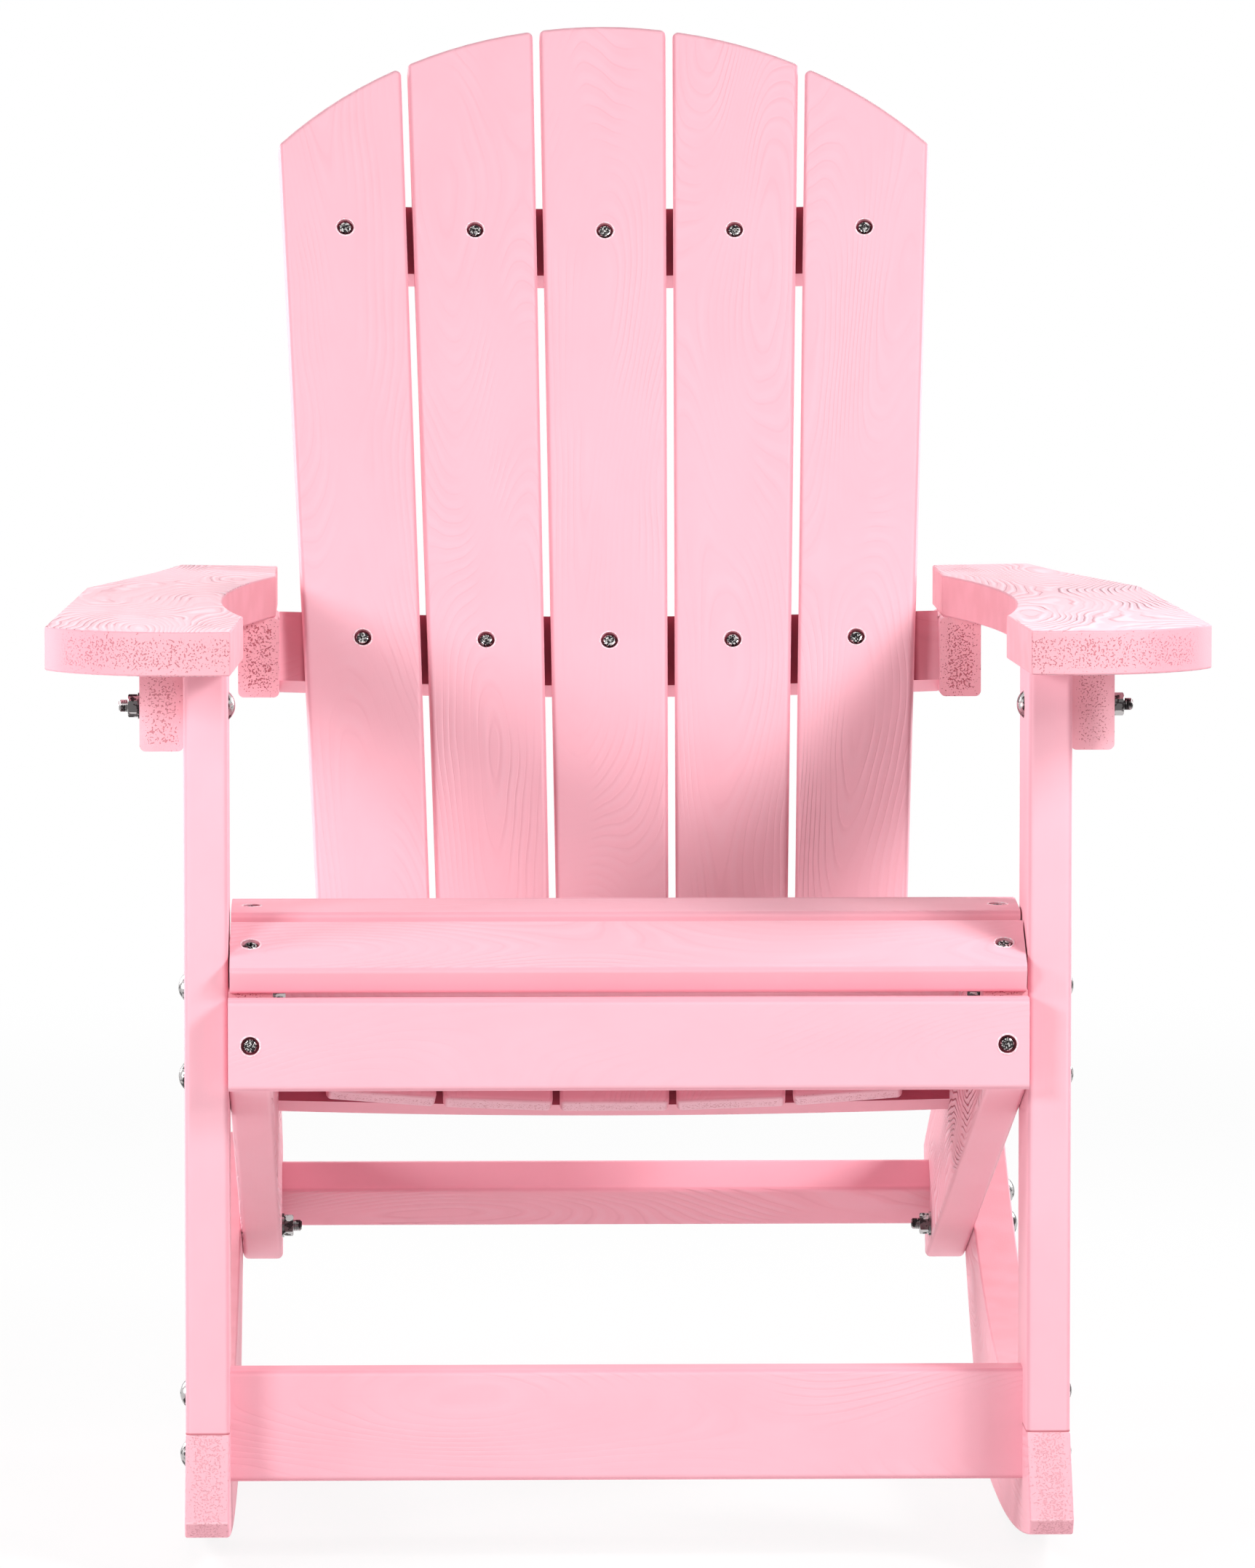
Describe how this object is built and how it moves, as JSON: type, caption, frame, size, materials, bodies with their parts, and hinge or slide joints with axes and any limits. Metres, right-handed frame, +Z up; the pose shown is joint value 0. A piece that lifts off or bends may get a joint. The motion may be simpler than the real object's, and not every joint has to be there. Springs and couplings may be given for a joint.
{
  "type": "rocking adirondack chair",
  "caption": "Adirondack rocking chair of plastic lumber: a fanned slat back with an arched top, a slatted scooped seat, broad curved arms and bowed runners.",
  "frame": {"origin": "on the floor, under the middle of the chair's overall box, between the runners", "axes": "+Z up, +Y from the front of the seat to the rear, +X to the right as seen from the front; the chair is symmetric about X = 0"},
  "size_m": [0.75, 0.8173, 0.9951],
  "materials": {
    "lumber": "matte",
    "fasteners": "satin"
  },
  "bodies": {
    "root": {"back_slat_1": "lumber", "back_slat_2": "lumber", "back_slat_3": "lumber", "back_slat_4": "lumber", "back_slat_5": "lumber", "back_rail_top": "lumber", "back_rail_middle": "lumber", "back_rail_lower": "lumber", "seat_slat_1": "lumber", "seat_slat_2": "lumber", "seat_slat_3": "lumber", "seat_slat_4": "lumber", "seat_slat_5": "lumber", "seat_slat_6": "lumber", "seat_apron": "lumber", "seat_stringer_left": "lumber", "seat_stringer_right": "lumber", "front_leg_left": "lumber", "front_leg_right": "lumber", "rocker_left": "lumber", "rocker_right": "lumber", "arm_left": "lumber", "arm_right": "lumber", "arm_front_bracket_left": "lumber", "arm_front_bracket_right": "lumber", "arm_rear_bracket_left": "lumber", "arm_rear_bracket_right": "lumber", "front_stretcher": "lumber", "rear_stretcher": "lumber", "back_screws_top": "fasteners", "back_screws_middle": "fasteners", "back_screws_lower": "fasteners", "seat_screws": "fasteners", "apron_screws": "fasteners", "arm_screws": "fasteners", "middle_rail_screws": "fasteners", "lower_rail_screws": "fasteners", "arm_bolts": "fasteners", "stringer_bolts": "fasteners", "rocker_bolts": "fasteners", "front_stretcher_bolts": "fasteners", "rear_stretcher_bolts": "fasteners", "arm_bolt_washers": "fasteners", "arm_bolt_nuts": "fasteners", "stringer_bolt_washers": "fasteners", "stringer_bolt_nuts": "fasteners", "rocker_bolt_washers": "fasteners", "rocker_bolt_nuts": "fasteners", "barrel_nuts": "fasteners"}
  },
  "joints": []
}
